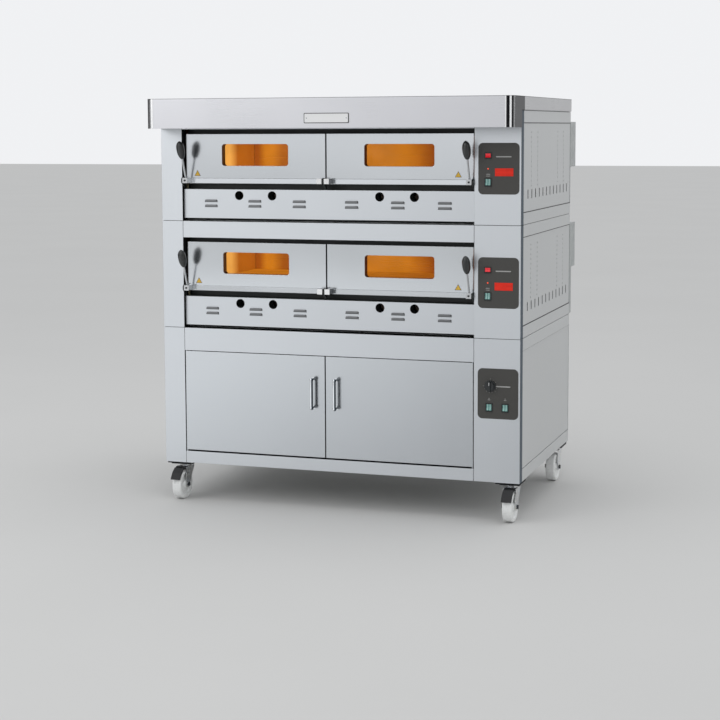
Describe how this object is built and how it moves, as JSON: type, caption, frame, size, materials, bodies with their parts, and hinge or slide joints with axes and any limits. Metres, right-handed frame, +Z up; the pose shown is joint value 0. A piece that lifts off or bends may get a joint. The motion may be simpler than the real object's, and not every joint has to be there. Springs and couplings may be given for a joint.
{
  "type": "deck pizza oven",
  "caption": "Stacked deck pizza oven with glazed flap doors, overhanging steam hood, side control column and a proving cabinet below on braked swivel castors.",
  "frame": {"origin": "centre of the oven's footprint at floor level", "axes": "+Z up from the floor, +Y from the door side to the back, +X to the right seen from the front, where the control column is"},
  "size_m": [1.556, 1.245, 1.702],
  "materials": {
    "amber_glass": "oven glass lit amber from the chamber",
    "bakelite": "black bakelite",
    "black_enamel": "black heat-proof enamel",
    "chrome": "polished chrome",
    "display_red": "red display window",
    "door_steel": "satin stainless, soft mirror",
    "galvanised": "galvanised sheet",
    "gas_pipe": "steel gas pipe",
    "heater_steel": "heating element and water pan",
    "lamp_glass": "lamp lens",
    "lever_steel": "machined steel",
    "nylon": "white nylon",
    "panel_grey": "dark grey overlay",
    "pedal_black": "black moulded plastic",
    "stainless_front": "vertical brushed stainless sheet",
    "stainless_hood": "satin stainless sheet",
    "stainless_liner": "heat-tinted stainless sheet",
    "stainless_side": "brushed stainless sheet, warmer and duller than the front",
    "stone": "cordierite baking stone",
    "switch_black": "black moulded plastic",
    "switch_green": "pale green translucent plastic",
    "switch_red": "red translucent plastic",
    "wool": "mineral wool",
    "zinc": "bright zinc plate"
  },
  "bodies": {
    "oven": {"castor_plates": "zinc", "cabinet_frame": "stainless_front", "cabinet_panels": "stainless_side", "cabinet_liner": "stainless_liner", "tray_runners": "stainless_liner", "proving_heater": "heater_steel", "deck_fronts": "stainless_front", "louvre_panels": "stainless_front", "deck_side_rails": "stainless_side", "deck_side_panels": "stainless_side", "deck_casings": "galvanised", "door_surrounds": "black_enamel", "chamber_liners": "stainless_liner", "hearth_stones": "stone", "insulation_blankets": "wool", "gas_trains": "gas_pipe", "chamber_lamps": "lamp_glass", "door_bearings": "black_enamel", "rear_boxes": "galvanised", "hood": "stainless_hood", "control_plates": "panel_grey", "switch_bezels": "switch_black", "display_modules": "display_red"},
    "lower_left_door": {"lower_left_door": "door_steel", "lower_left_window": "amber_glass", "lower_left_lever": "lever_steel", "lower_left_knob": "bakelite"},
    "lower_right_door": {"lower_right_door": "door_steel", "lower_right_window": "amber_glass", "lower_right_lever": "lever_steel", "lower_right_knob": "bakelite"},
    "upper_left_door": {"upper_left_door": "door_steel", "upper_left_window": "amber_glass", "upper_left_lever": "lever_steel", "upper_left_knob": "bakelite"},
    "upper_right_door": {"upper_right_door": "door_steel", "upper_right_window": "amber_glass", "upper_right_lever": "lever_steel", "upper_right_knob": "bakelite"},
    "left_cabinet_door": {"left_cabinet_door": "stainless_front", "left_cabinet_handle": "chrome"},
    "right_cabinet_door": {"right_cabinet_door": "stainless_front", "right_cabinet_handle": "chrome"},
    "front_left_fork": {"front_left_fork": "zinc"},
    "front_left_wheel": {"front_left_wheel": "nylon"},
    "front_left_brake_pedal": {"front_left_brake_pedal": "pedal_black"},
    "front_right_fork": {"front_right_fork": "zinc"},
    "front_right_wheel": {"front_right_wheel": "nylon"},
    "front_right_brake_pedal": {"front_right_brake_pedal": "pedal_black"},
    "rear_left_fork": {"rear_left_fork": "zinc"},
    "rear_left_wheel": {"rear_left_wheel": "nylon"},
    "rear_right_fork": {"rear_right_fork": "zinc"},
    "rear_right_wheel": {"rear_right_wheel": "nylon"},
    "upper_power_switch": {"upper_power_switch": "switch_red"},
    "upper_lamp_switch": {"upper_lamp_switch": "switch_green"},
    "lower_power_switch": {"lower_power_switch": "switch_red"},
    "lower_lamp_switch": {"lower_lamp_switch": "switch_green"},
    "cabinet_heat_switch": {"cabinet_heat_switch": "switch_green"},
    "cabinet_steam_switch": {"cabinet_steam_switch": "switch_green"},
    "thermostat_knob": {"thermostat_knob": "bakelite"}
  },
  "joints": [
    {"name": "lower_left_door_hinge", "type": "hinge", "parent": "oven", "child": "lower_left_door", "pos_m": [-0.0475, -0.4795, 0.911], "axis": [1, 0, 0], "range_deg": [0, 90]},
    {"name": "lower_right_door_hinge", "type": "hinge", "parent": "oven", "child": "lower_right_door", "pos_m": [-0.0475, -0.4795, 0.911], "axis": [1, 0, 0], "range_deg": [0, 90]},
    {"name": "upper_left_door_hinge", "type": "hinge", "parent": "oven", "child": "upper_left_door", "pos_m": [-0.0475, -0.4795, 1.3635], "axis": [1, 0, 0], "range_deg": [0, 90]},
    {"name": "upper_right_door_hinge", "type": "hinge", "parent": "oven", "child": "upper_right_door", "pos_m": [-0.0475, -0.4795, 1.3635], "axis": [1, 0, 0], "range_deg": [0, 90]},
    {"name": "left_cabinet_door_hinge", "type": "hinge", "parent": "oven", "child": "left_cabinet_door", "pos_m": [-0.675, -0.4735, 0.427], "axis": [0, 0, -1], "range_deg": [0, 105]},
    {"name": "right_cabinet_door_hinge", "type": "hinge", "parent": "oven", "child": "right_cabinet_door", "pos_m": [0.58, -0.4735, 0.427], "axis": [0, 0, 1], "range_deg": [0, 105]},
    {"name": "front_left_swivel", "type": "hinge", "parent": "oven", "child": "front_left_fork", "pos_m": [-0.709, -0.4225, 0.145], "axis": [0, 0, 1], "continuous": true},
    {"name": "front_left_wheel_spin", "type": "hinge", "parent": "front_left_fork", "child": "front_left_wheel", "pos_m": [-0.709, -0.4605, 0.0625], "axis": [1, 0, 0], "continuous": true},
    {"name": "front_left_brake", "type": "hinge", "parent": "front_left_fork", "child": "front_left_brake_pedal", "pos_m": [-0.709, -0.4605, 0.133], "axis": [1, 0, 0], "range_deg": [0, 8]},
    {"name": "front_right_swivel", "type": "hinge", "parent": "oven", "child": "front_right_fork", "pos_m": [0.733, -0.4225, 0.145], "axis": [0, 0, 1], "continuous": true},
    {"name": "front_right_wheel_spin", "type": "hinge", "parent": "front_right_fork", "child": "front_right_wheel", "pos_m": [0.733, -0.4605, 0.0625], "axis": [1, 0, 0], "continuous": true},
    {"name": "front_right_brake", "type": "hinge", "parent": "front_right_fork", "child": "front_right_brake_pedal", "pos_m": [0.733, -0.4605, 0.133], "axis": [1, 0, 0], "range_deg": [0, 8]},
    {"name": "rear_left_swivel", "type": "hinge", "parent": "oven", "child": "rear_left_fork", "pos_m": [-0.709, 0.4055, 0.145], "axis": [0, 0, 1], "continuous": true},
    {"name": "rear_left_wheel_spin", "type": "hinge", "parent": "rear_left_fork", "child": "rear_left_wheel", "pos_m": [-0.709, 0.3675, 0.0625], "axis": [1, 0, 0], "continuous": true},
    {"name": "rear_right_swivel", "type": "hinge", "parent": "oven", "child": "rear_right_fork", "pos_m": [0.733, 0.4055, 0.145], "axis": [0, 0, 1], "continuous": true},
    {"name": "rear_right_wheel_spin", "type": "hinge", "parent": "rear_right_fork", "child": "rear_right_wheel", "pos_m": [0.733, 0.3675, 0.0625], "axis": [1, 0, 0], "continuous": true},
    {"name": "upper_power_switch_rock", "type": "hinge", "parent": "oven", "child": "upper_power_switch", "pos_m": [0.642, -0.4765, 1.4685], "axis": [1, 0, 0], "range_deg": [0, 16]},
    {"name": "upper_lamp_switch_rock", "type": "hinge", "parent": "oven", "child": "upper_lamp_switch", "pos_m": [0.642, -0.4765, 1.3635], "axis": [1, 0, 0], "range_deg": [0, 16]},
    {"name": "lower_power_switch_rock", "type": "hinge", "parent": "oven", "child": "lower_power_switch", "pos_m": [0.642, -0.4765, 1.016], "axis": [1, 0, 0], "range_deg": [0, 16]},
    {"name": "lower_lamp_switch_rock", "type": "hinge", "parent": "oven", "child": "lower_lamp_switch", "pos_m": [0.642, -0.4765, 0.911], "axis": [1, 0, 0], "range_deg": [0, 16]},
    {"name": "cabinet_heat_switch_rock", "type": "hinge", "parent": "oven", "child": "cabinet_heat_switch", "pos_m": [0.649, -0.4765, 0.464], "axis": [1, 0, 0], "range_deg": [0, 16]},
    {"name": "cabinet_steam_switch_rock", "type": "hinge", "parent": "oven", "child": "cabinet_steam_switch", "pos_m": [0.715, -0.4765, 0.464], "axis": [1, 0, 0], "range_deg": [0, 16]},
    {"name": "thermostat_turn", "type": "hinge", "parent": "oven", "child": "thermostat_knob", "pos_m": [0.654, -0.4875, 0.551], "axis": [0, 1, 0], "range_deg": [0, 270]}
  ]
}
